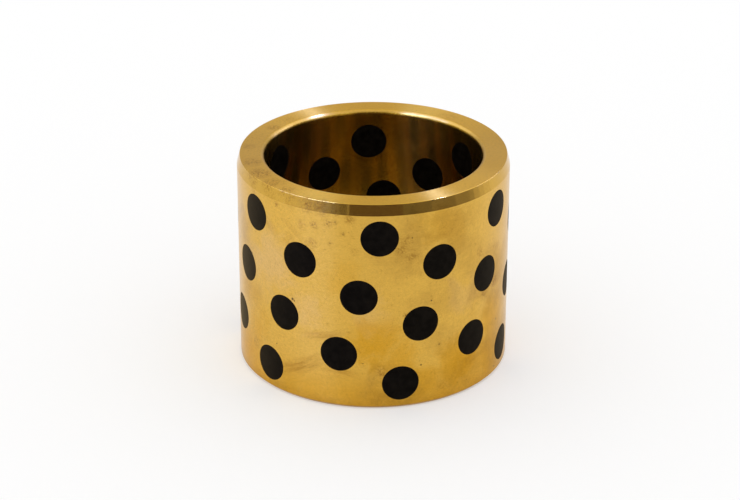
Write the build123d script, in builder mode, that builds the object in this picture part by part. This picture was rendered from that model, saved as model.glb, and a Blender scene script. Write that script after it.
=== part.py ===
"""Plain bearing bush with graphite plugs: a turned bronze sleeve and the dry lubricant bonded into its wall.

Millimetres. The bush stands on its plain end: +Z runs up along the bore, the origin is the middle of the end
face it stands on, and the end with the lead-in chamfer is on top. Angles round the bush are counted from -Y
towards +X.
"""

from build123d import *
from math import cos, radians, sin, tan
import os

# ---- driving dimensions: the sleeve ----
bore_diameter = 60.0
wall_thickness = 7.5
length = 60.0
lead_in_length = 3.0  # along the axis, so that the bush starts straight in its housing
lead_in_angle = 15.0  # degrees, from the axis
edge_break = 0.8  # 45 degree break round the lower outer edge
bore_mouth_radius = 1.25  # rounds both ends of the bore, so that the shaft isn't scraped

# ---- driving dimensions: the graphite plugs ----
plug_diameter = 10.0
bond_film = 0.02  # adhesive all round a plug, so the plug is this much smaller in radius than its hole
plugs_per_row = 6
row_overlap = 1.4  # the band that a row wipes overlaps the next row's by about this much
row_stagger = 0.4295  # each row turns on from the row above by this share of the plug spacing
first_plug_angle = 2.6  # degrees, the first plug of the top row
upper_band = 1.5  # plain wall between the lead-in and the top row
lower_band = 1.7  # plain wall between the edge break and the bottom row
plug_stock = 2.0  # extra plug length outside the wall, turned off once the plugs are in

# ---- sizes that follow ----
bore_radius = bore_diameter / 2
outer_radius = bore_radius + wall_thickness
lead_in_depth = lead_in_length * tan(radians(lead_in_angle))
mouth_radius = min(bore_mouth_radius, wall_thickness / 4)

hole_radius = plug_diameter / 2
plug_radius = hole_radius - bond_film
top_row_height = length - lead_in_length - upper_band - hole_radius
bottom_row_height = edge_break + lower_band + hole_radius
row_span = top_row_height - bottom_row_height
row_count = max(2, 1 + round(row_span / (plug_diameter - row_overlap)))
row_pitch = row_span / (row_count - 1)
plug_spacing = 360 / plugs_per_row


def plug_plane(row, place):
    """The plane that a plug is drawn on: it sits on the bush's axis and faces outwards along the plug."""
    angle = radians(first_plug_angle + plug_spacing * (place + row_stagger * row))
    height = top_row_height - row_pitch * row
    return Plane(origin=(0, 0, height), x_dir=(0, 0, 1), z_dir=(sin(angle), -cos(angle), 0))


plug_planes = {
    (row + 1, place + 1): plug_plane(row, place)
    for row in range(row_count)
    for place in range(plugs_per_row)
}

os.makedirs("parts", exist_ok=True)

# ---- the sleeve: half of its section is spun round the axis, then drilled for the plugs ----
with BuildPart() as bronze_sleeve:
    with BuildSketch(Plane.XZ) as wall_section:
        with BuildLine():
            Polyline(
                (bore_radius, 0),
                (outer_radius, 0),
                (outer_radius, length - lead_in_length),
                (outer_radius - lead_in_depth, length),
                (bore_radius, length),
                close=True,
            )
        make_face()
        bore_corners = wall_section.vertices().group_by(Axis.X)[0]
        fillet(bore_corners, radius=mouth_radius)
        lower_outer_corner = wall_section.vertices().group_by(Axis.Y)[0].sort_by(Axis.X)[-1]
        chamfer(lower_outer_corner, length=edge_break)
    revolve(axis=Axis.Z)
    # the drill starts at the axis and goes out through one side of the wall
    with BuildSketch(*plug_planes.values()):
        Circle(hole_radius)
    extrude(amount=outer_radius + plug_stock, mode=Mode.SUBTRACT)
bronze_sleeve.part.label = "bronze_sleeve"
export_step(bronze_sleeve.part, "parts/bronze_sleeve.step")

# ---- the plugs: round rods along their holes, cut flush with the outside of the sleeve and with its bore ----
for (row, place), plane in plug_planes.items():
    with BuildPart() as graphite_plug:
        with BuildSketch(plane):
            Circle(plug_radius)
        extrude(amount=outer_radius + plug_stock)
        with BuildSketch(Plane.XY):
            Circle(outer_radius)
            Circle(bore_radius, mode=Mode.SUBTRACT)
        extrude(amount=length, mode=Mode.INTERSECT)
    graphite_plug.part.label = f"graphite_plug_{row}_{place}"
    export_step(graphite_plug.part, f"parts/{graphite_plug.part.label}.step")
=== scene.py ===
# %% [markdown]
# # A bronze bush with graphite plugs
#
# A plain bearing bush is a turned bronze sleeve. This one is drilled through its wall in six
# staggered rows, and a short rod of graphite is bonded into every hole, so that a shaft sliding in
# it is fed with dry lubricant.
#
# The lesson dresses a finished CAD model. The model is loaded first, because it fixes where every
# piece is and how big it is: nothing after this cell moves or resizes the bush.

import bpy
import numpy as np
from math import cos, pi, radians, sin, sqrt, tan
from mathutils import Matrix, Vector
from mathutils.geometry import delaunay_2d_cdt


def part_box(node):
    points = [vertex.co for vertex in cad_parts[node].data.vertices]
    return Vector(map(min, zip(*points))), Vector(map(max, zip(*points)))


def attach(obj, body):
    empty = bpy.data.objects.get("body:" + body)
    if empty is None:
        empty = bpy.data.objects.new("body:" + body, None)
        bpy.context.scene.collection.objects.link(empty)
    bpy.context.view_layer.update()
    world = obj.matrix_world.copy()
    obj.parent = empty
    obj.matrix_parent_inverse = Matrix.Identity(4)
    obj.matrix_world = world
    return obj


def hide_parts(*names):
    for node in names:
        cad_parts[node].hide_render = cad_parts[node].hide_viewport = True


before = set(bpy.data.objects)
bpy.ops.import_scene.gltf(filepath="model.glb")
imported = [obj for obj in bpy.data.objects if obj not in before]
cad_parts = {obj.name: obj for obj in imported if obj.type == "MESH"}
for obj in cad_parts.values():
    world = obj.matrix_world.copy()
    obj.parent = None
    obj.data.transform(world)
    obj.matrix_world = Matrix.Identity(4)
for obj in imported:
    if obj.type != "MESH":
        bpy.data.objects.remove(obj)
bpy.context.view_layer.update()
print("pieces in the model:", len(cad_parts))

# %% [markdown]
# ## The sizes of the bush
#
# These are the sizes on a maker's drawing. Blender works in metres, so each millimetre is written
# through `MM`. The bush stands on its plain end, with the axis of the bore along Z.

# %% Sizes
MM = 0.001
outer_radius = 37.5 * MM
bore_radius = 30.0 * MM
length = 60.0 * MM
lead_in_length = 3.0 * MM
lead_in_depth = lead_in_length * tan(radians(15))
edge_break = 0.8 * MM
mouth_radius = 1.25 * MM
hole_radius = 5.0 * MM
bond_film = 0.02 * MM
plug_radius = hole_radius - bond_film
top_row_height, row_pitch = 50.5 * MM, 8.6 * MM
rows, plugs_per_row = 6, 6
plug_spacing = 360 / plugs_per_row
row_stagger = 0.4295 * plug_spacing
first_plug_angle = 2.6

sleeve_low, sleeve_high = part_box("bronze_sleeve")
sleeve_size = [round((b - a) / MM, 2) for a, b in zip(sleeve_low, sleeve_high)]
print("sleeve in the model, mm:", sleeve_size)

# %% [markdown]
# ## The camera
#
# A long lens from a little above shows the bore and the drilled wall at once, and keeps the sides
# nearly parallel. The camera stands 0.67 m away and looks down by 25 degrees. Its lens is worked
# out from how large the bush has to stand in the render: pixels per unit of angle, over the width
# in pixels. A small helper puts the camera in the scene.

# %% Camera
camera_distance = 0.66876
camera_height_angle = 0.4354
camera_down_tilt, camera_turn, camera_roll = 0.43548, -0.0015, 0.0012
render_width = 740
pixels_per_radian = 2391.6
film_width = 36
scene = bpy.context.scene


def add_object(name, data):
    """Puts a camera, a lamp or a mesh in the scene."""
    made = bpy.data.objects.new(name, data)
    scene.collection.objects.link(made)
    return made


camera_data = bpy.data.cameras.new("studio_camera")
camera_data.sensor_fit = "HORIZONTAL"
camera_data.sensor_width = film_width
camera_data.lens = film_width * pixels_per_radian / render_width
camera = add_object("studio_camera", camera_data)

looking = Vector((
    sin(camera_turn) * cos(camera_down_tilt),
    cos(camera_turn) * cos(camera_down_tilt),
    -sin(camera_down_tilt),
))
level_right = looking.cross(Vector((0, 0, 1))).normalized()
level_up = level_right.cross(looking)
right = cos(camera_roll) * level_right + sin(camera_roll) * level_up
up = cos(camera_roll) * level_up - sin(camera_roll) * level_right
camera_place = Vector((0, -camera_distance * cos(camera_height_angle),
                       length / 2 + camera_distance * sin(camera_height_angle)))
turn = Matrix((right, up, -looking)).transposed().to_4x4()
camera.matrix_world = Matrix.Translation(camera_place) @ turn
scene.camera = camera
print("lens in mm:", round(camera_data.lens, 2), "camera at", [round(c, 3) for c in camera_place])

# %% [markdown]
# ## Wiring shader nodes by hand
#
# Every finish in this lesson is a small network of nodes. Two helpers keep the wiring readable:
# `node` adds a node with its settings, and `fill` gives an input either a plain number or a link
# from another node. The others stand for the empty materials, sums, soft steps, colour mixes and
# noises that come back all the time.

# %% Helpers for shader nodes
def new_material(name):
    """An empty material, and its tree of nodes."""
    made = bpy.data.materials.new(name)
    made.use_nodes = True
    made.node_tree.nodes.clear()
    return made, made.node_tree


def fill(tree, socket, value):
    """Gives a socket a link if the value is another node's output, and else the plain value."""
    if isinstance(value, bpy.types.NodeSocket):
        tree.links.new(value, socket)
    else:
        socket.default_value = value


def node(tree, kind, inputs=None, **settings):
    """Adds a node, sets its options, and fills its inputs, which are named or numbered."""
    made = tree.nodes.new("ShaderNode" + kind)
    for name, value in settings.items():
        setattr(made, name, value)
    for name, value in (inputs or {}).items():
        fill(tree, made.inputs[name], value)
    return made


def reckon(tree, operation, first, second=0.0, third=0.0):
    """One sum on numbers, such as ADD, MULTIPLY or GREATER_THAN."""
    made = node(tree, "Math", {0: first, 1: second, 2: third}, operation=operation)
    return made.outputs[0]


def soft_step(tree, value, start, end, low=0.0, high=1.0):
    """Goes smoothly from low to high while the value goes from start to end, and stays there."""
    made = node(tree, "MapRange", {0: value, 1: start, 2: end, 3: low, 4: high},
                interpolation_type="SMOOTHSTEP")
    return made.outputs[0]


def colour_mix(tree, share, first, second, way="MIX"):
    """Mixes two colours: none of the second at share 0, all of it at share 1."""
    made = node(tree, "Mix", data_type="RGBA", blend_type=way)
    for number, value in ((0, share), (6, first), (7, second)):
        fill(tree, made.inputs[number], value)
    return made.outputs[2]


def noise(tree, place, scale, detail=2.0, rough=0.5, warp=0.0):
    """Cloudy noise from 0 to 1, with an average of a half. Scale is in clouds per unit of place."""
    made = node(tree, "TexNoise", {
        "Vector": place, "Scale": scale, "Detail": detail, "Roughness": rough, "Distortion": warp})
    return made.outputs[0]

# %% [markdown]
# ## The sky
#
# Polished bronze has no colour of its own: all that it shows is its surroundings, tinted gold. A
# plain white sky at a strength of 1 makes every colour come out about as it is written.

# %% Sky
scene.view_settings.view_transform = "Standard"
world = bpy.data.worlds.new("soft_white_sky")
scene.world = world
world.use_nodes = True
sky = world.node_tree
sky.nodes.clear()
background = node(sky, "Background", {"Color": (1, 1, 1, 1), "Strength": 1.0})
node(sky, "OutputWorld", {"Surface": background.outputs[0]})
print("view transform:", scene.view_settings.view_transform)

# %% [markdown]
# ## The floor
#
# The bush stands on white paper that runs back as far as the eye can see. Matt paper alone renders
# a little below white, so a faint glow makes up the rest. The glow shows only to the camera and in
# reflections and lights nothing, and it softens the shadow round the foot of the bush.

# %% Floor
floor_half_size = 4.0
floor_white = 0.7
floor_glow = 0.3

floor_mesh = bpy.data.meshes.new("studio_floor")
corners = [(-1, -1), (1, -1), (1, 1), (-1, 1)]
floor_points = [(x * floor_half_size, y * floor_half_size, 0) for x, y in corners]
floor_mesh.from_pydata(floor_points, [], [(0, 1, 2, 3)])
floor = add_object("studio_floor", floor_mesh)

floor_paint, paper = new_material("matt_white_paper")
path = node(paper, "LightPath")
looked_at = reckon(paper, "MAXIMUM", path.outputs["Is Camera Ray"], path.outputs["Is Glossy Ray"])
looked_at = reckon(paper, "MAXIMUM", looked_at, path.outputs["Is Transmission Ray"])
matt = node(paper, "BsdfDiffuse", {"Color": (floor_white, floor_white, floor_white, 1)})
glow_strength = reckon(paper, "MULTIPLY", looked_at, floor_glow)
glow = node(paper, "Emission", {"Color": (1, 1, 1, 1), "Strength": glow_strength})
both = node(paper, "AddShader", {0: matt.outputs[0], 1: glow.outputs[0]})
node(paper, "OutputMaterial", {"Surface": both.outputs[0]})
floor_mesh.materials.append(floor_paint)
print("floor level:", floor_white + floor_glow)

# %% [markdown]
# ## Lamps
#
# A turned surface is covered with fine grooves, and each groove mirrors a lamp only where it faces
# half-way between the lamp and the camera. So a lamp is best placed backwards: choose where on the
# bush its glint should show, and work out the direction it has to stand in. The lamps are a cool
# white, because gold takes the blue out of what it mirrors, and only reflections see them, so that
# they add no light to anything dull.

# %% Lamps
aim_at = Vector((0, 0, length))
towards_camera = (camera_place - aim_at).normalized()
lamp_distance = 1.3
cool_white = (0.18, 0.27, 1.0)
cold_white = (0.10, 0.15, 1.0)


def lamp_seen_in(groove_angle, groove_tilt):
    """The direction of the lamp that a groove shows to the camera. The groove faces `groove_angle`
    degrees from the camera's side towards the right, and leans `groove_tilt` degrees from straight
    up."""
    a, t = radians(groove_angle), radians(groove_tilt)
    facing = Vector((sin(t) * sin(a), -sin(t) * cos(a), cos(t)))
    return (2 * facing.dot(towards_camera) * facing - towards_camera).normalized()


def soft_box(name, direction, width, depth, colour, power):
    """An oblong soft box that faces the top of the bush."""
    data = bpy.data.lights.new(name, "AREA")
    data.shape = "RECTANGLE"
    data.size, data.size_y = width, depth
    data.energy = power
    data.color = colour
    lamp = add_object(name, data)
    lamp.location = aim_at + lamp_distance * direction
    lamp.rotation_euler = direction.to_track_quat("Z", "Y").to_euler()
    lamp.visible_diffuse = False
    print(name, "stands at", [round(c, 2) for c in lamp.location])


soft_box("fan_lamp", lamp_seen_in(30.5, 33), width=0.035, depth=0.1, colour=cold_white, power=24.0)
soft_box("left_glint_lamp", lamp_seen_in(-24, 58), width=0.7, depth=0.36, colour=cool_white,
         power=30.0)

# %% [markdown]
# ## Screens
#
# Screens stand round the front, where only reflections see them. The slanted lead-in at the top of
# the bush mirrors them as a band that goes from dark in the middle to bright at the sides. The tall
# black one in the middle also darkens the far side of the rounded mouth. Two bright panels stand
# high at the sides and give the rest of the mouth its pale rim, and a grey screen behind the bush
# tones down the flat end face.

# %% Screens
def screen(name, low_edge, high_edge, shade):
    """A sheet between two edges, each a list of points, that glows with a plain colour and shows
    only in reflections."""
    count = len(low_edge)
    faces = [(i, i + 1, count + i + 1, count + i) for i in range(count - 1)]
    mesh = bpy.data.meshes.new(name)
    mesh.from_pydata([tuple(point) for point in low_edge + high_edge], [], faces)
    sheet = add_object(name, mesh)
    sheet.visible_camera = False
    sheet.visible_diffuse = False
    sheet.visible_shadow = False
    cloth, weave = new_material(name + "_cloth")
    even_glow = node(weave, "Emission", {"Color": (*shade, 1), "Strength": 1.0})
    node(weave, "OutputMaterial", {"Surface": even_glow.outputs[0]})
    mesh.materials.append(cloth)


degrees_per_flat, fewest_flats = 4, 2


def round_screen(name, from_angle, to_angle, shade, distance=0.42, low=0.0, high=0.2):
    """A screen that stands round the bush. Angles are in degrees from the camera's side towards
    the right."""
    sweep = to_angle - from_angle
    steps = max(fewest_flats, int(sweep / degrees_per_flat))
    turns = [radians(from_angle + sweep * step / steps) for step in range(steps + 1)]
    edges = [[(distance * sin(a), -distance * cos(a), z) for a in turns] for z in (low, high)]
    screen(name, *edges, shade)


lead_in_shades = [  # from angle, to angle, shade
    (-72, -62, 0.95), (-62, -54, 0.88), (-54, -47, 0.78), (-47, -40, 0.60), (-40, -33, 0.40),
    (-33, -26, 0.28), (-26, -20, 0.21), (-20, -18.4, 0.36), (22.8, 34, 0.19), (34, 46, 0.20),
    (46, 56, 0.27), (56, 67.5, 0.26), (67.5, 68.3, 0.42), (68.3, 81, 0.34), (81, 86, 0.42),
    (86, 92, 0.62), (92, 98, 0.76), (98, 106, 0.90),
]
for number, (from_angle, to_angle, shade) in enumerate(lead_in_shades):
    # the darker the cloth, the less green it has, and a little less blue
    green, blue = shade * (0.9 + 0.1 * shade), shade * (0.96 + 0.04 * shade)
    round_screen(f"lead_in_{number}_screen", from_angle, to_angle, (shade, green, blue))
cloth_black, back_grey, panel_white = (0.15, 0.115, 0.115), (0.7, 0.7, 0.7), (1.5, 1.6, 2.4)
round_screen("black_screen", -18.4, 22.8, cloth_black, high=0.5)
round_screen("back_grey_screen", 120, 240, back_grey, distance=1.2, high=1.2)
round_screen("right_bright_screen", 62, 150, panel_white, distance=1.0, low=0.55, high=1.8)
round_screen("left_bright_screen", -150, -62, panel_white, distance=1.0, low=0.55, high=1.8)

# %% [markdown]
# ## Strips for the rims
#
# Every edge of the turned piece has a hair of rounding, and a rounding mirrors something bright if
# there is something bright anywhere in its turn. A thin strip that follows the same half-way rule
# as the lamps puts one fine line of light along each rim, and hardly shows on the flat faces.

# %% Rim strips
strip_distance = 1.1
strip_steps = 10


def rim_strip(name, from_angle, to_angle, low_tilt, high_tilt, shade):
    """A strip that shows in the rims between two angles of the bush, where they lean by the two
    tilts."""
    sweep = to_angle - from_angle
    turns = [from_angle + sweep * step / strip_steps for step in range(strip_steps + 1)]
    edges = [[aim_at + strip_distance * lamp_seen_in(a, tilt) for a in turns]
             for tilt in (low_tilt, high_tilt)]
    screen(name, *edges, shade)


rim_strip("right_rim_screen", 49, 68, 55, 60, (4.5, 5.4, 18.0))
rim_strip("left_rim_screen", -43, -19, 52, 57, (3.9, 6.2, 36.0))

# %% [markdown]
# ## Building a shell point by point
#
# A mirror-like surface shows every bump in its mesh. So the pieces aren't cut with Boolean tools,
# which leave ragged shading round each hole. Every point is put where the turning and drilling
# would leave it, and carries its own exact surface direction, called a normal. A shell is four
# lists: points, normals, faces, and the coat of each face, which says what material covers it.

# %% Helpers for building a shell
def new_shell():
    return {"points": [], "normals": [], "faces": [], "coats": []}


def add_loop(shell, points, normals):
    """Adds a closed loop of points to the shell, and returns their numbers in order."""
    start = len(shell["points"])
    shell["points"].extend(points)
    shell["normals"].extend(normals)
    return list(range(start, start + len(points)))


def add_face(shell, face, coat=0):
    """Adds one face. Its coat is the number of the material that covers it."""
    shell["faces"].append(tuple(face))
    shell["coats"].append(coat)


def bridge(shell, loop_a, loop_b, coat=0):
    """Joins two loops of the same number of points with a band of four-sided faces."""
    for i in range(len(loop_a)):
        j = (i + 1) % len(loop_a)
        add_face(shell, (loop_a[i], loop_a[j], loop_b[j], loop_b[i]), coat)


def finish_shell(shell, name, nodes_replaced, materials):
    """Turns the lists into a Blender mesh whose faces all look outwards and whose shading follows
    the normals."""
    points, normals = np.array(shell["points"]), np.array(shell["normals"])
    normals /= np.linalg.norm(normals, axis=1)[:, None]
    faces = []
    for face in shell["faces"]:
        p = points[list(face)]
        one, other = (p[1] - p[0], p[2] - p[0]) if len(face) == 3 else (p[2] - p[0], p[3] - p[1])
        outwards = np.cross(one, other) @ normals[list(face)].sum(0) > 0
        faces.append(face if outwards else face[::-1])
    mesh = bpy.data.meshes.new(name)
    mesh.from_pydata(points.tolist(), [], faces)
    mesh.polygons.foreach_set("use_smooth", [True] * len(faces))
    mesh.normals_split_custom_set_from_vertices(normals.tolist())
    for material in materials:
        mesh.materials.append(material)
    mesh.polygons.foreach_set("material_index", shell["coats"])
    piece = add_object(name, mesh)
    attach(piece, "root")
    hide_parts(*nodes_replaced)
    return piece

# %% [markdown]
# ## The section of the sleeve
#
# A lathe makes a sleeve from one section spun round an axis, and so does this cell. The section has
# six corners. On the real piece none of them is perfectly sharp: the two mouths of the bore are
# rounded on purpose, and the other edges keep a hair's breadth of rounding from deburring. That
# hair is what catches the light.

# %% Section with every corner rounded
section_corners = [  # radius, height, rounding
    (bore_radius, 0, mouth_radius),
    (outer_radius - edge_break, 0, 0.12 * MM),
    (outer_radius, edge_break, 0.12 * MM),
    (outer_radius, length - lead_in_length, 0.15 * MM),
    (outer_radius - lead_in_depth, length, 0.2 * MM),
    (bore_radius, length, mouth_radius),
]


def rounded_corner(before, corner, after, rounding, steps):
    """Points along a rounded corner of the section, each with the way that it faces there."""
    corner = np.array(corner)
    come, go = corner - np.array(before), np.array(after) - corner
    come, go = come / np.linalg.norm(come), go / np.linalg.norm(go)
    face_in, face_out = np.array((come[1], -come[0])), np.array((go[1], -go[0]))
    centre = corner - (face_in + face_out) * rounding / (1 + face_in @ face_out)
    start = np.arctan2(face_in[1], face_in[0])
    sweep = np.arccos(np.clip(face_in @ face_out, -1, 1))
    turns = [start + sweep * step / steps for step in range(steps + 1)]
    return [(centre + rounding * np.array((cos(t), sin(t))), (cos(t), sin(t))) for t in turns]


mouth_steps, edge_steps = 10, 4
rounded = []
for i, (r, z, rounding) in enumerate(section_corners):
    before, after = section_corners[i - 1][:2], section_corners[(i + 1) % len(section_corners)][:2]
    steps = mouth_steps if rounding == mouth_radius else edge_steps
    rounded.append(rounded_corner(before, (r, z), after, rounding, steps))
print("points in the section:", sum(len(corner) for corner in rounded))

# %% [markdown]
# ## Spinning the section
#
# Each point of the section becomes a ring of 180 points. Neighbouring rings are bridged, all but
# the outer wall and the bore wall, which are drilled and so need faces that make way for the holes.

# %% Spin the corners into rings
points_per_ring = 180
ring_angles = np.arange(points_per_ring) * 2 * pi / points_per_ring


def spin(shell, radius, height, facing):
    """A ring of the sleeve, from a point of its section and the direction it faces."""
    points = [(radius * cos(a), radius * sin(a), height) for a in ring_angles]
    normals = [(facing[0] * cos(a), facing[0] * sin(a), facing[1]) for a in ring_angles]
    return add_loop(shell, points, normals)


sleeve_shell = new_shell()
corner_rings = [[spin(sleeve_shell, *point, facing) for point, facing in corner]
                for corner in rounded]
for rings in corner_rings:
    for ring, next_ring in zip(rings, rings[1:]):
        bridge(sleeve_shell, ring, next_ring)
for i in (0, 1, 3, 4):  # the lower end, the edge break, the lead-in and the upper end
    bridge(sleeve_shell, corner_rings[i][-1], corner_rings[i + 1][0])
print("faces before drilling:", len(sleeve_shell["faces"]))

# %% [markdown]
# ## Where the plugs go
#
# The rows are staggered, so that the bands which the plugs wipe cover the whole length of the
# shaft. Each row turns on from the one above by a little under half the spacing.

# %% Places of the 36 plugs
plug_places = {}
for row in range(rows):
    for turn_step in range(plugs_per_row):
        angle = radians(first_plug_angle + plug_spacing * turn_step + row_stagger * row)
        plug_places[row + 1, turn_step + 1] = (angle, top_row_height - row_pitch * row)
print("plugs:", len(plug_places), "lowest row at", round(plug_places[6, 1][1] / MM, 2), "mm")

# %% [markdown]
# ## Loops round a hole
#
# Where a round hole meets a round wall, the edge isn't a flat circle: it rises and falls with the
# wall. One helper works out such a loop at any distance from the hole's axis. The sleeve's holes
# and the plugs both use it, once leaning towards the hole's axis and once away from it. A loop can
# also sink below the wall, which gives the tiny rounded rim.

# %% Loop round a hole or a plug
loop_points = 60
rim_steps = 3
loop_angles = np.arange(loop_points) * 2 * pi / loop_points
print("points in a loop:", loop_points)


def round_loop(shell, place, reach, wall_radius, outside, sink=0.0, lean=0.0, side=1):
    """A loop on a round wall. `outside` is 1 on the outer wall and -1 in the bore. `lean` turns the
    facing from the wall's own, at 0, to sideways, at a quarter turn; `side` is 1 away from the
    hole's axis, -1 towards it."""
    angle, height = place
    outwards = np.array((sin(angle), -cos(angle), 0))
    along = np.array((cos(angle), sin(angle), 0))
    upwards = np.array((0, 0, 1))
    points, normals = [], []
    for t in loop_angles:
        u, v = reach * cos(t), reach * sin(t)
        w = sqrt(wall_radius ** 2 - u ** 2)
        wall_facing = outside * (outwards * w + along * u) / wall_radius
        points.append(outwards * (w - outside * sink) + along * u + upwards * (height + v))
        sideways = along * cos(t) + upwards * sin(t)
        normals.append(cos(lean) * wall_facing + sin(lean) * side * sideways)
    return add_loop(shell, points, normals)


def rounded_rim(shell, place, radius, rim, wall_radius, outside, side, coat=0):
    """Loops that turn from the wall into the side of a hole, or from a plug's end into its side."""
    loops = []
    for step in range(rim_steps + 1):
        lean = pi / 2 * step / rim_steps
        reach, sink = radius - side * rim * (1 - sin(lean)), rim * (1 - cos(lean))
        loops.append(round_loop(shell, place, reach, wall_radius, outside, sink, lean, side))
    for loop, next_loop in zip(loops, loops[1:]):
        bridge(shell, loop, next_loop, coat)
    return loops

# %% [markdown]
# ## Drilling the walls
#
# A drilled wall is a sheet with round windows. Unrolled flat it would have a seam, so it is opened
# out instead like a paper ring: height becomes the distance from the middle. Blender's Delaunay
# routine then fills the ring with even triangles that keep to the edges of the windows, and the
# triangles inside a window are left out.

# %% Fill a wall round its holes
hole_rim = 0.09 * MM
dusty_coat = 1
grid_step = 1.9 * MM
clear_of_hole = 0.7 * MM
front_angle = pi / 2 * 3  # the front of the bush, as the points of a ring count their angles
all_triangles, same_point = 0, 1e-9  # two settings of the Delaunay routine
print("rings of points up a wall:", round(length / grid_step))


def clear_points(radius, low, high):
    """Points spread over a wall, staggered from one ring to the next, and none of them in or near
    a hole."""
    near = hole_radius + clear_of_hole
    found = []
    ring_count = round((high - low) / grid_step)
    for k in range(1, ring_count):
        z = low + (high - low) * k / ring_count
        for a in ring_angles + (k % 2) * pi / points_per_ring:
            away = [np.hypot(radius * ((a - front_angle - angle + pi) % (2 * pi) - pi), z - height)
                    for angle, height in plug_places.values() if abs(z - height) < near]
            if not away or min(away) > near:
                found.append((radius * cos(a), radius * sin(a), z))
    return found


def drilled_wall(shell, radius, outside, low_ring, high_ring):
    """Fills one wall between two rings, and returns the loops at the bottom of the holes' rims."""
    rims = {key: rounded_rim(shell, place, hole_radius, hole_rim, radius, outside, -1, dusty_coat)
            for key, place in plug_places.items()}
    low, high = shell["points"][low_ring[0]][2], shell["points"][high_ring[0]][2]
    spread = clear_points(radius, low, high)
    middle = add_loop(shell, spread, [(outside * x, outside * y, 0) for x, y, z in spread])
    loops = [low_ring, high_ring] + [rim[0] for rim in rims.values()]
    used = [i for loop in loops for i in loop] + middle
    loop_of = {i: n for n, loop in enumerate(loops) for i in loop}
    flat_number = {i: n for n, i in enumerate(used)}
    edges = [(flat_number[loop[k - 1]], flat_number[loop[k]])
             for loop in loops for k in range(len(loop))]
    flat = []
    for i in used:
        x, y, z = shell["points"][i]
        reach = np.exp(z / radius) / np.hypot(x, y)
        flat.append(Vector((x * reach, y * reach)))
    filled = delaunay_2d_cdt(flat, edges, [], all_triangles, same_point)
    triangles, came_from = filled[2], filled[3]
    for triangle in triangles:
        three = [used[came_from[corner][0]] for corner in triangle]
        window = {loop_of.get(i, -1) for i in three}
        if len(window) > 1 or window == {-1}:
            add_face(shell, three)
    return {key: rim[-1] for key, rim in rims.items()}

# %% [markdown]
# ## Drilling right through
#
# The drill goes through the whole wall, so each hole has one rim outside and one in the bore. The
# two walls are drilled in the same way, and a band of faces joins each pair of rims. That band is
# the side of the hole.

# %% Drill the outer wall and the bore, and join the two through the holes
outer_holes = drilled_wall(sleeve_shell, outer_radius, 1, corner_rings[2][-1], corner_rings[3][0])
bore_holes = drilled_wall(sleeve_shell, bore_radius, -1, corner_rings[0][0], corner_rings[5][-1])
for key in plug_places:
    bridge(sleeve_shell, outer_holes[key], bore_holes[key], dusty_coat)
print("points in the sleeve:", len(sleeve_shell["points"]), "faces:", len(sleeve_shell["faces"]))

# %% [markdown]
# ## Bronze: where on the bush
#
# The sleeve is a golden bronze, turned all over and handled since. Its finish differs from place to
# place: the lead-in was cut last and is smoothest, the bore is honed and darkened by graphite and
# by painted shade, the end face has stains. So the material first finds out where it is: how far
# from the axis, how high, and on which of those surfaces. Everything is in millimetres here, like
# the sizes of real marks. The dust and the graphite ask the same questions later, so the answers
# come from a helper.

# %% Find the place on the bush
def place_on_bush(tree):
    """The place in millimetres, its three parts, its flat part with no height, and the distance
    from the axis."""
    object_place = node(tree, "TexCoord").outputs["Object"]
    scaled = node(tree, "VectorMath", {0: object_place, "Scale": 1 / MM}, operation="SCALE")
    in_mm = scaled.outputs[0]
    parts = node(tree, "SeparateXYZ", {0: in_mm})
    flat = node(tree, "CombineXYZ", {"X": parts.outputs["X"], "Y": parts.outputs["Y"]}).outputs[0]
    away = node(tree, "VectorMath", {0: flat}, operation="LENGTH").outputs["Value"]
    return in_mm, parts, flat, away


bronze, metal = new_material("turned_bronze")
place_mm, split, flat_place, from_axis = place_on_bush(metal)
height = split.outputs["Z"]
round_way = node(metal, "VectorMath", {0: flat_place}, operation="NORMALIZE").outputs[0]

bore_mm, outer_mm, top_mm = bore_radius / MM, outer_radius / MM, length / MM
lead_in_foot, lead_in_top = (length - lead_in_length) / MM, (outer_radius - lead_in_depth) / MM
in_bore = soft_step(metal, from_axis, bore_mm + 0.3, bore_mm + 0.02)
past_foot = soft_step(metal, height, lead_in_foot - 0.02, lead_in_foot + 0.06)
past_top_edge = soft_step(metal, from_axis, lead_in_top - 0.08, lead_in_top)
on_lead_in = reckon(metal, "MULTIPLY", past_foot, past_top_edge)
at_top = soft_step(metal, height, top_mm - 0.12, top_mm - 0.02)
on_top = reckon(metal, "MAXIMUM", reckon(metal, "SUBTRACT", at_top, on_lead_in), 0.0)
print("lead-in from height", lead_in_foot, "mm, up to radius", round(lead_in_top, 2), "mm")

# %% [markdown]
# ## Bronze: the lay of the tool
#
# A cutting tool leaves fine grooves that run round the piece. Noise makes them, when it is
# stretched: it changes quickly with height and with distance from the axis, and slowly on the way
# round. A noise in four dimensions has room for all of these at once, with no seam anywhere.

# %% Turning lay
grooves_per_mm, waves_per_mm = 4.5, 0.5
changes_round = 5.0
scaled = node(metal, "VectorMath", {0: round_way, "Scale": changes_round}, operation="SCALE")
round_split = node(metal, "SeparateXYZ", {0: scaled.outputs[0]})


def turning_marks(per_mm, detail):
    """Noise drawn out round the axis, from 0 to 1."""
    across = reckon(metal, "MULTIPLY", from_axis, per_mm)
    upwards = reckon(metal, "MULTIPLY", height, per_mm)
    round_x, round_y = round_split.outputs[0], round_split.outputs[1]
    at = node(metal, "CombineXYZ", {0: across, 1: round_x, 2: round_y})
    marks = node(metal, "TexNoise", {"Vector": at.outputs[0], "W": upwards, "Scale": 1.0,
                                     "Detail": detail}, noise_dimensions="4D")
    return marks.outputs[0]


fine_lay = turning_marks(grooves_per_mm, detail=3.0)
broad_lay = turning_marks(waves_per_mm, detail=1.0)
print("width of one groove in mm:", round(1 / grooves_per_mm, 2))
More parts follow.
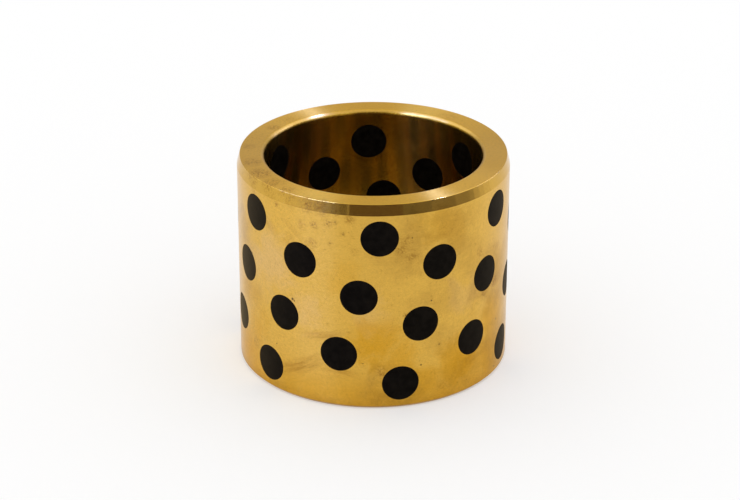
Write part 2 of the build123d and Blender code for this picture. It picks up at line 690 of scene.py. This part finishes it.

# %% [markdown]
# ## Bronze: colour
#
# Metal has no colour under its surface: the base colour tints what it mirrors. Clean bronze is a
# pale gold. Where an oily film has been left it turns a deeper orange, a dry haze makes it greyer,
# and a thin tarnish only dulls it. None of these has a sharp edge. Each is a list of soft round
# patches whose edges are pushed about by clouds of noise, so that neighbours melt together. The
# film and the tarnish also grow towards the foot, and that fade is painted shade; so are some of
# their patches, low on the wall and towards the right. A finer noise makes every colour a little
# uneven, as handled metal is.

# %% Gold with its film, haze and tarnish
pale_gold = (0.72, 0.43, 0.075, 1)
warm_gold = (0.65, 0.33, 0.018, 1)
hazy_gold = (0.72, 0.46, 0.16, 1)
tarnish_and_shade_tint = (0.72, 0.69, 0.70, 1)
edge_push = 5.0
# film patches; those low on the wall and towards the right are partly painted shade
film_and_shade_patches = [  # angle from the front, height, reach, strength
    (0, 19, 11, 0.9), (12, 14, 10, 0.7), (60, 18, 14, 0.8), (40, 9, 14, 1.0), (20, 6, 12, 0.8),
    (-58, 16, 9, 0.5), (-12, 37, 8, 0.35), (30, 52, 10, 0.4), (-70, 6, 13, 1.0), (-30, 3, 10, 0.6),
    (75, 45, 9, 0.3), (62, 6, 20, 1.0), (68, 31, 12, 0.5), (-66, 25, 9, 0.4), (110, 30, 15, 0.7),
    (150, 12, 16, 0.8), (-150, 42, 15, 0.6), (-110, 14, 14, 0.7), (180, 34, 12, 0.6),
]
haze_patches = [
    (-48, 38, 13, 0.8), (-30, 26, 9, 0.4), (-2, 29, 7, 0.5), (40, 30, 9, 0.3), (-72, 50, 9, 0.5),
    (130, 48, 12, 0.6), (-125, 30, 12, 0.6), (165, 54, 10, 0.5),
]
# tarnish patches; those towards the right are partly painted shade
tarnish_and_shade_patches = [
    (15, 47, 13, 0.8), (34, 50, 12, 0.7), (46, 40, 13, 0.5), (26, 30, 12, 0.6), (58, 30, 14, 1.0),
    (-68, 44, 10, 0.7), (66, 10, 14, 0.8), (30, 20, 10, 0.5), (40, 5, 12, 0.5), (8, 3, 14, 0.9),
    (77, 30, 12, 0.45), (-66, 26, 9, 0.45), (100, 50, 12, 0.6), (140, 30, 13, 0.6),
    (-160, 14, 14, 0.6), (-115, 40, 12, 0.6),
]
clouds = noise(metal, place_mm, scale=0.12, detail=4.0, rough=0.6, warp=0.5)
cloud_push = soft_step(metal, clouds, 0.2, 0.8, low=-edge_push, high=edge_push)


def soft_patches(patches, reach_in, push=0.0):
    """Soft round patches on the sleeve, the strongest winning where they meet. A patch is (angle,
    height, reach, strength) on the outer wall, or (angle, distance from the axis, height, reach,
    strength) anywhere. It is full out to the share `reach_in` of its reach, and `push` is a
    distance that makes its edge wander."""
    share = 0.0
    for *where, reach, strength in patches:
        angle, radius, up_at = where if len(where) == 3 else (where[0], outer_mm, where[1])
        middle = (radius * sin(radians(angle)), -radius * cos(radians(angle)), up_at)
        apart = node(metal, "VectorMath", {0: place_mm, 1: middle}, operation="DISTANCE")
        away = reckon(metal, "ADD", apart.outputs["Value"], push)
        patch = soft_step(metal, away, reach, reach_in * reach, low=0.0, high=strength)
        share = reckon(metal, "MAXIMUM", share, patch)
    return share


def tinted(colour, share, tint):
    """Tints a colour: not at all at share 0, and fully at share 1."""
    full = colour_mix(metal, 1.0, colour, tint, "MULTIPLY")
    return colour_mix(metal, share, colour, full)


# painted shade: the wall turns deeper orange towards the foot
low_wall_painted_shade = soft_step(metal, height, 16.0, 1.0, low=0.0, high=0.7)
film_and_shade = reckon(metal, "MAXIMUM", soft_patches(film_and_shade_patches, 0.1, cloud_push), low_wall_painted_shade)
film_and_shade = reckon(metal, "MULTIPLY", film_and_shade, soft_step(metal, clouds, 0.2, 0.6, low=0.6, high=1.0))
on_outer_wall = soft_step(metal, from_axis, outer_mm - 1.5, outer_mm - 0.8)
film_and_shade = reckon(metal, "MULTIPLY", film_and_shade, on_outer_wall)
haze = soft_patches(haze_patches, 0.1, cloud_push)
gold = colour_mix(metal, haze, pale_gold, hazy_gold)
gold = colour_mix(metal, film_and_shade, gold, warm_gold)
# painted shade: the lowest few millimetres are dulled
foot_edge_painted_shade = soft_step(metal, height, 4.0, 0.5, low=0.0, high=0.7)
tarnish_and_shade = reckon(metal, "MAXIMUM", soft_patches(tarnish_and_shade_patches, 0.1, cloud_push), foot_edge_painted_shade)
small_clouds = noise(metal, place_mm, scale=0.35, detail=4.0, rough=0.6)
small_clouds = soft_step(metal, small_clouds, 0.3, 0.6, low=0.5, high=1.0)
tarnish_and_shade = reckon(metal, "MULTIPLY", tarnish_and_shade, small_clouds)
gold = tinted(gold, tarnish_and_shade, tarnish_and_shade_tint)

mottle = noise(metal, place_mm, scale=1.5, detail=5.0, rough=0.8)
mottle_depth = reckon(metal, "MULTIPLY_ADD", on_lead_in, -0.06, 0.12)
mottle_swing = soft_step(metal, mottle, 0.25, 0.75, low=-1.0, high=1.0)
mottle_level = reckon(metal, "MULTIPLY_ADD", mottle_swing, mottle_depth, 0.98)
gold = colour_mix(metal, 1.0, gold, mottle_level, "MULTIPLY")
lay_level = soft_step(metal, fine_lay, 0.3, 0.7, low=0.98, high=1.01)
gold = colour_mix(metal, 1.0, gold, lay_level, "MULTIPLY")
print("patches of film, haze, tarnish:", len(film_and_shade_patches), len(haze_patches), len(tarnish_and_shade_patches))

# %% [markdown]
# ## Bronze: stains
#
# Old fingerprints and coolant leave brownish patches, most of them on the end face and the lead-in,
# where the bush is held. Each patch is a soft round spot at its own place, and all the spots are
# broken up by a fine noise and a broad one, so that they look like grime in the metal and not like
# paint. Faint freckles lie everywhere.

# %% Stains
stain_spots = [  # angle from the front, distance from the axis, height, reach, strength
    (-62, 34.3, 60, 4.8, 1.0), (-50, 34.6, 60, 4.4, 1.0), (-76, 34.0, 60, 4.0, 0.7),
    (-40, 35.3, 60, 3.5, 0.8), (-95, 34.5, 60, 3.0, 0.5), (-121, 32.8, 60, 3.0, 0.8),
    (-134, 33.5, 60, 3.0, 0.4), (140, 33.6, 60, 4.0, 0.5), (-59, 37.2, 58.6, 2.5, 0.7),
    (-47, 37.2, 58.5, 3.2, 0.4), (-36, 37.1, 58.6, 3.2, 0.5), (-28, 37.1, 58.4, 3.2, 1.2),
    (-21.6, 37.2, 58.4, 3.4, 1.3), (-14, 37.2, 58.2, 2.6, 1.0), (-58.8, 37.5, 56.2, 1.3, 0.8),
    (-43.1, 37.5, 55.8, 1.6, 0.7), (-24.9, 37.5, 53.0, 1.8, 0.7), (-18.7, 37.5, 54.2, 2.0, 0.7),
    (-15.5, 37.5, 54.7, 1.3, 0.6), (-12.2, 37.5, 51.6, 1.3, 0.3), (-9.6, 37.5, 56.0, 2.2, 0.7),
    (-30, 37.5, 52.5, 2.4, 0.5), (-37, 37.5, 47.0, 2.8, 0.5), (-26, 37.5, 47.5, 2.4, 0.8),
    (-17.4, 37.5, 48.4, 1.4, 0.3), (-7.3, 37.5, 46.5, 1.8, 0.5), (13, 37.5, 49.7, 2.6, 0.5),
    (15.2, 37.5, 45.2, 3.2, 0.5), (11.5, 37.5, 47.0, 2.6, 0.5), (31, 37.5, 51, 3.2, 0.3),
    (28.3, 37.5, 17.4, 1.1, 0.3), (-35.2, 37.5, 29.6, 1.0, 1.0), (13.3, 37.5, 27.7, 1.1, 0.7),
    (61.7, 37.5, 28.9, 2.4, 0.9), (53, 37.5, 27.3, 2.0, 0.6), (50, 37.5, 40.6, 2.0, 0.6),
    (3.5, 37.5, 11.4, 2.4, 0.8), (29.8, 37.5, 3.9, 3.2, 0.35), (-58.4, 37.5, 11.2, 3.0, 0.5),
    (120, 37.5, 45, 5.0, 0.5), (171, 37.5, 22, 6.0, 0.6), (-140, 37.5, 33, 5.0, 0.5),
    (-105, 37.5, 14, 4.0, 0.5), (95, 37.5, 12, 4.5, 0.5), (-170, 37.5, 50, 4.0, 0.5),
]
near_spot = soft_patches(stain_spots, 0.2)
fine_grime = noise(metal, place_mm, scale=1.7, detail=6.0, rough=0.85)
fine_grime = soft_step(metal, fine_grime, 0.45, 0.58, low=0.08, high=1.0)
broad_grime = noise(metal, place_mm, scale=0.5, detail=2.0, rough=0.6)
broad_grime = soft_step(metal, broad_grime, 0.34, 0.56, low=0.3, high=1.0)
stain = reckon(metal, "MULTIPLY", near_spot, reckon(metal, "MULTIPLY", fine_grime, broad_grime))
freckles = noise(metal, place_mm, scale=1.2, detail=4.0, rough=0.8)
freckles = soft_step(metal, freckles, 0.56, 0.72, low=0.0, high=0.35)
stain = reckon(metal, "MAXIMUM", stain, freckles)
stain_tint = (0.40, 0.27, 0.13, 1)
gold = tinted(gold, stain, stain_tint)
print("stain spots:", len(stain_spots))

# %% [markdown]
# ## Bronze: wiped smears
#
# A cloth leaves curved, streaky marks when it wipes an oily wall. The wall is unrolled for them:
# the distance round it is one direction and the height is the other. A smear has its own middle,
# slope and bend, and inside it a noise that is drawn out along the stroke.

# %% Smears
smears = [  # angle from the front, height, slope, half length, half width, bend per mm, strength
    (-20, 21.0, 14, 9.0, 1.6, -0.012, 0.8), (-32, 10.0, 26, 12.0, 2.8, -0.010, 1.0),
    (-14, 11.0, -8, 7.0, 1.6, 0.01, 0.8), (-50, 50.0, -30, 8.0, 2.0, 0.01, 0.5),
    (-33, 49.5, -38, 8.0, 1.2, 0.0, 0.4), (-30, 44.0, -20, 7.0, 1.6, 0.0, 0.4),
    (38, 44.0, 24, 9.0, 2.0, 0.01, 0.4), (48, 10.0, 12, 9.0, 2.4, 0.01, 0.5),
    (110, 20.0, 15, 10.0, 2.4, -0.01, 0.7), (-120, 48.0, -12, 10.0, 2.4, 0.01, 0.7),
]
smear_tint = (0.72, 0.66, 0.62, 1)
stroke_stretch = 0.12
minus_y = reckon(metal, "MULTIPLY", split.outputs["Y"], -1.0)
turned = reckon(metal, "ARCTAN2", split.outputs["X"], minus_y)
round_mm = reckon(metal, "MULTIPLY", turned, outer_mm)
smear = 0.0
for angle, up_at, slope, half_length, half_width, bend, strength in smears:
    across = reckon(metal, "SUBTRACT", round_mm, radians(angle) * outer_radius / MM)
    rise = reckon(metal, "SUBTRACT", height, up_at)
    c, s = cos(radians(slope)), sin(radians(slope))
    along = reckon(metal, "MULTIPLY_ADD", across, c, reckon(metal, "MULTIPLY", rise, s))
    aside = reckon(metal, "MULTIPLY_ADD", rise, c, reckon(metal, "MULTIPLY", across, -s))
    aside = reckon(metal, "MULTIPLY_ADD", reckon(metal, "MULTIPLY", along, along), bend, aside)
    in_length = soft_step(metal, reckon(metal, "ABSOLUTE", along), half_length, 0.0)
    in_width = soft_step(metal, reckon(metal, "ABSOLUTE", aside), half_width, 0.3 * half_width)
    inside = reckon(metal, "MULTIPLY", in_length, in_width)
    drawn_out = reckon(metal, "MULTIPLY", along, stroke_stretch)
    stroke = node(metal, "CombineXYZ", {0: drawn_out, 1: aside, 2: angle}).outputs[0]
    streaks = noise(metal, stroke, scale=1.1, detail=2.0, rough=0.6)
    streaks = soft_step(metal, streaks, 0.25, 0.65, low=0.2, high=strength)
    smear = reckon(metal, "MAXIMUM", smear, reckon(metal, "MULTIPLY", inside, streaks))
gold = tinted(gold, smear, smear_tint)
print("smears:", len(smears))

# %% [markdown]
# ## Bronze: specks
#
# A few tiny dark pits are scattered over the wall. A Voronoi texture deals out one point to each
# small cell of space. A speck shows where the surface passes close to such a point, and only a few
# of the cells have one. The nicks that handling has left are larger and sit at places of their own,
# some of them beside a hole.

# %% Specks and nicks
speck_cell, largest_speck = 2.6, 0.13
cells_without_speck = 0.72
pit_brown = (0.09, 0.055, 0.02, 1)
cells = node(metal, "TexVoronoi", {"Vector": place_mm, "Scale": 1 / speck_cell, "Randomness": 1.0})
cell_lot = node(metal, "SeparateColor", {0: cells.outputs["Color"]}).outputs[0]
speck_size = soft_step(metal, cell_lot, cells_without_speck, 1.0, low=0.001, high=largest_speck)
speck_reach = reckon(metal, "DIVIDE", cells.outputs["Distance"], speck_size)
speck = soft_step(metal, speck_reach, 1.0, 0.6, low=0.0, high=0.8)
nicks = [  # angle from the front, height, reach, strength
    (-35.2, 29.7, 0.5, 0.9), (-34.3, 29.3, 0.35, 0.8), (28.3, 17.4, 0.3, 0.6),
    (-12.2, 51.4, 0.3, 0.5), (-12.2, 51.9, 0.25, 0.4), (-17.7, 48.5, 0.3, 0.4),
    (-18.9, 54.0, 0.4, 0.35), (-18.0, 54.6, 0.35, 0.35), (-15.5, 54.8, 0.35, 0.5),
    (-25.1, 52.9, 0.5, 0.3), (-24.1, 53.3, 0.4, 0.25), (-43.1, 55.8, 0.4, 0.3),
    (13.3, 27.7, 0.3, 0.5), (53.4, 35.6, 0.3, 0.5), (-61, 37.6, 0.3, 0.5), (118, 38, 0.4, 0.7),
    (-132, 24, 0.4, 0.7), (160, 47, 0.35, 0.6), (-152, 52, 0.35, 0.6),
]
speck = reckon(metal, "MAXIMUM", speck, soft_patches(nicks, 0.4))
speck = reckon(metal, "MULTIPLY", speck, reckon(metal, "SUBTRACT", 1.0, on_top))
gold = colour_mix(metal, speck, gold, pit_brown)
print("nicks:", len(nicks))

# %% [markdown]
# ## Bronze: the bore
#
# The plugs smear graphite over the bore. Its tint, duller and browner than the outside, is partly
# that graphite and partly painted shade. Long soft streaks run up and down it, where the shaft was
# pushed in, and broad patches of painted shade make it darker still. The end face and the lead-in
# get tints of their own here too, and the three are put together.

# %% Bore colour
# painted shade: broad darker patches in the bore
bore_shade_patches = [  # angle from the front, distance from the axis, height, reach, strength
    (181, 30, 54, 12, 0.5), (184, 30, 47, 10, 0.5), (187, 30, 39, 14, 0.5), (141, 30, 44, 18, 0.66),
    (126, 30, 55, 12, 0.52), (153, 30, 54, 10, 0.5), (156, 30, 38, 9, 0.3), (114, 30, 56, 16, 0.55),
    (228, 30, 51, 20, 0.66), (218, 30, 44, 9, 0.62), (237, 30, 46, 10, 0.7), (250, 30, 48, 22, 0.6),
    (150, 30, 15, 16, 0.4), (300, 30, 20, 16, 0.4), (20, 30, 25, 18, 0.4),
]
# the bore tint is partly graphite and partly painted shade
bore_tint, end_tint = (0.84, 0.81, 0.42, 1), (0.98, 0.92, 0.5, 1)
lead_in_tint = (0.88, 0.88, 0.84, 1)
bore_streaks = noise(metal, round_way, scale=5.0, detail=2.0, rough=0.6)
bore_level = soft_step(metal, bore_streaks, 0.3, 0.7, low=0.92, high=1.02)
# painted shade over the bore
painted_bore_shade = soft_patches(bore_shade_patches, 0.2)
bore_level = reckon(metal, "MULTIPLY", bore_level, reckon(metal, "SUBTRACT", 1.0, painted_bore_shade))
bore_gold = colour_mix(metal, 1.0, gold, bore_tint, "MULTIPLY")
bore_gold = colour_mix(metal, 1.0, bore_gold, bore_level, "MULTIPLY")
outer_gold = tinted(gold, on_top, end_tint)
cut_gold = colour_mix(metal, 1.0, gold, lead_in_tint, "MULTIPLY")
outer_gold = colour_mix(metal, on_lead_in, outer_gold, cut_gold)
bronze_colour = colour_mix(metal, in_bore, outer_gold, bore_gold)
print("broad smears in the bore:", len(bore_shade_patches))

# %% [markdown]
# ## Bronze: the skin
#
# Roughness says how far a reflection spreads. The grooves smear it across themselves: that is the
# anisotropic setting, with its direction taken round Z and turned by a quarter, and it draws the
# lamps out into fans on the end face. The bump lets the grooves, the mottling and the pits catch
# the light. Metal seen at a slant turns white; Specular Tint keeps it a little golden there, more
# so where the oily film and the painted shade of the foot are. The dust in the bore scatters some
# light, so a small share of its shine gives way to plain dull colour.

# %% Bronze skin
wall_polish, bore_polish, lead_in_roughness, stain_roughness = 0.10, 0.05, 0.11, 0.12
roughness = soft_step(metal, mottle, 0.2, 0.8, low=0.26, high=0.34)
mouth_foot, mouth_top = (length - mouth_radius) / MM, (length - 0.8 * mouth_radius) / MM
near_top = soft_step(metal, height, mouth_foot, mouth_top)
turned_last = reckon(metal, "MAXIMUM", on_top, near_top)
polish = reckon(metal, "MULTIPLY_ADD", turned_last, -wall_polish, wall_polish)
roughness = reckon(metal, "SUBTRACT", roughness, polish)
roughness = node(metal, "Mix", {0: on_lead_in, 2: roughness, 3: lead_in_roughness}).outputs[0]
roughness = reckon(metal, "MULTIPLY_ADD", in_bore, -bore_polish, roughness)
roughness = reckon(metal, "MULTIPLY_ADD", stain, stain_roughness, roughness)

groove_relief, wave_relief, mottle_relief, pit_relief = 0.18, 0.5, 0.8, -3.0
relief_height = 0.002 * MM
relief = reckon(metal, "MULTIPLY", broad_lay, wave_relief)
relief = reckon(metal, "MULTIPLY_ADD", fine_lay, groove_relief, relief)
relief = reckon(metal, "MULTIPLY_ADD", mottle, mottle_relief, relief)
relief = reckon(metal, "MULTIPLY_ADD", speck, pit_relief, relief)
flattened = reckon(metal, "MULTIPLY_ADD", on_lead_in, -0.8, 1.0)
relief = reckon(metal, "MULTIPLY", relief, flattened)
bump = node(metal, "Bump", {"Height": relief, "Strength": 1.0, "Distance": relief_height})

bore_dust = 0.03
clean_edge, oily_and_shaded_edge = (0.98, 0.95, 0.92, 1), (0.975, 0.92, 0.80, 1)
# the edge tint follows the film and the painted shade of the foot
edge_tint = colour_mix(metal, film_and_shade, clean_edge, oily_and_shaded_edge)
bronze_skin = node(metal, "BsdfPrincipled", {
    "Base Color": bronze_colour,
    "Metallic": reckon(metal, "MULTIPLY_ADD", in_bore, -bore_dust, 1.0),
    "Roughness": roughness,
    "Anisotropic": 1.0,
    "Anisotropic Rotation": 0.25,
    "Specular Tint": edge_tint,
    "Normal": bump.outputs[0],
})
lay_way = node(metal, "Tangent", direction_type="RADIAL", axis="Z")
fill(metal, bronze_skin.inputs["Tangent"], lay_way.outputs[0])
node(metal, "OutputMaterial", {"Surface": bronze_skin.outputs[0]})
print("nodes in the bronze:", len(metal.nodes))

# %% [markdown]
# ## Dusty edges
#
# Graphite dust packs into the fine gap round each plug and darkens the rim of the hole. The rims of
# the sleeve's holes have this second finish. Outside, the dust is mixed with wiped metal; in the
# bore it is nearly black, which is partly painted shade.

# %% Dust in the rims
dusty_edge, dust = new_material("dusty_edge")
# nearly black in the bore: dust and painted shade
black_dust_and_shade, metal_dust = (0.008, 0.006, 0.004, 1), (0.09, 0.055, 0.022, 1)
dust_place, _, _, dust_from_axis = place_on_bush(dust)
dust_clouds = noise(dust, dust_place, scale=0.9, detail=3.0, rough=0.6)
outer_share = soft_step(dust, dust_from_axis, 33.0, 36.0, low=0.06, high=1.0)
dust_clouds = reckon(dust, "MULTIPLY", dust_clouds, outer_share)
dust_colour = colour_mix(dust, dust_clouds, black_dust_and_shade, metal_dust)
dust_skin = node(dust, "BsdfPrincipled", {
    "Base Color": dust_colour,
    "Roughness": 0.6,
    "Specular IOR Level": 0.0,
})
node(dust, "OutputMaterial", {"Surface": dust_skin.outputs[0]})
print("nodes in the dust:", len(dust.nodes))

# %% [markdown]
# ## Graphite
#
# The plugs are pressed graphite: matte and nearly black, with a fine grain of a few tenths of a
# millimetre. The ends on the outside are rubbed, and look a little paler and warmer where they are
# seen at a slant; a thin sheen does that. The sheen grows stronger towards the left side, which is
# a painted sheen for more light there. The ends in the bore keep no sheen.

# %% Graphite
graphite, coal = new_material("pressed_graphite")
coal_black, coal_grey = (0.0022, 0.0017, 0.0013, 1), (0.0075, 0.0058, 0.0044, 1)
sheen_tint = (1.0, 0.70, 0.28, 1)
grain_height = 0.01 * MM
coal_place, _, _, coal_from_axis = place_on_bush(coal)
grain = noise(coal, coal_place, scale=5.0, detail=4.0, rough=0.7)
rubbed = noise(coal, coal_place, scale=0.5, detail=2.0, rough=0.5)
coal_share = soft_step(coal, reckon(coal, "MULTIPLY", grain, rubbed), 0.12, 0.42)
coal_colour = colour_mix(coal, coal_share, coal_black, coal_grey)
rubbed_end = soft_step(coal, coal_from_axis, 33.0, 34.0)
coal_x = node(coal, "SeparateXYZ", {0: coal_place}).outputs[0]
# painted sheen: stronger towards the left side
left_painted_sheen = soft_step(coal, coal_x, -10.0, -36.0, low=0.12, high=0.24)
coal_bump = node(coal, "Bump", {"Height": grain, "Strength": 1.0, "Distance": grain_height})
graphite_skin = node(coal, "BsdfPrincipled", {
    "Base Color": coal_colour,
    "Roughness": soft_step(coal, grain, 0.3, 0.7, low=0.48, high=0.62),
    "Specular IOR Level": reckon(coal, "MULTIPLY", rubbed_end, 0.02),
    "Sheen Weight": reckon(coal, "MULTIPLY", rubbed_end, left_painted_sheen),
    "Sheen Roughness": 0.4,
    "Sheen Tint": sheen_tint,
    "Normal": coal_bump.outputs[0],
})
node(coal, "OutputMaterial", {"Surface": graphite_skin.outputs[0]})
print("nodes in the graphite:", len(coal.nodes))

# %% [markdown]
# ## The sleeve as one piece
#
# The shell is closed and the finishes are ready, so the sleeve can become a mesh: bronze all over,
# and dust in the rims and sides of its holes. It takes the place of the model's plain sleeve, in
# the same spot.

# %% Finish the sleeve
sleeve = finish_shell(sleeve_shell, "sleeve", ["bronze_sleeve"], [bronze, dusty_edge])
print("sleeve triangles:", sum(len(p.vertices) - 2 for p in sleeve.data.polygons))

# %% [markdown]
# ## The plugs
#
# Each plug is a rod whose two ends were turned together with the sleeve, so the ends follow the
# walls. An end is made of rings from its middle out to a small worn rim, and the two ends are
# joined by the side of the rod.

# %% Plugs
plug_rim = 0.08 * MM
end_rings = [0.2, 0.45, 0.7, 0.88]


def plug_end(shell, place, wall_radius, outside):
    """One end of a plug, and the loop where its side starts."""
    angle, height = place
    outwards = np.array((sin(angle), -cos(angle), 0))
    tip = outwards * wall_radius + np.array((0, 0, height))
    centre = add_loop(shell, [tip], [outside * outwards])[0]
    loops = [round_loop(shell, place, share * plug_radius, wall_radius, outside)
             for share in end_rings]
    rim = rounded_rim(shell, place, plug_radius, plug_rim, wall_radius, outside, 1)
    for i in range(loop_points):
        add_face(shell, (centre, loops[0][i], loops[0][(i + 1) % loop_points]))
    for loop, next_loop in zip(loops, loops[1:] + rim[:1]):
        bridge(shell, loop, next_loop)
    return rim[-1]


for (row, number), place in plug_places.items():
    plug_shell = new_shell()
    outer_side = plug_end(plug_shell, place, outer_radius, 1)
    inner_side = plug_end(plug_shell, place, bore_radius, -1)
    bridge(plug_shell, outer_side, inner_side)
    finish_shell(plug_shell, f"plug_{row}_{number}", [f"graphite_plug_{row}_{number}"],
                 [graphite])
print("plugs made:", len(plug_places))
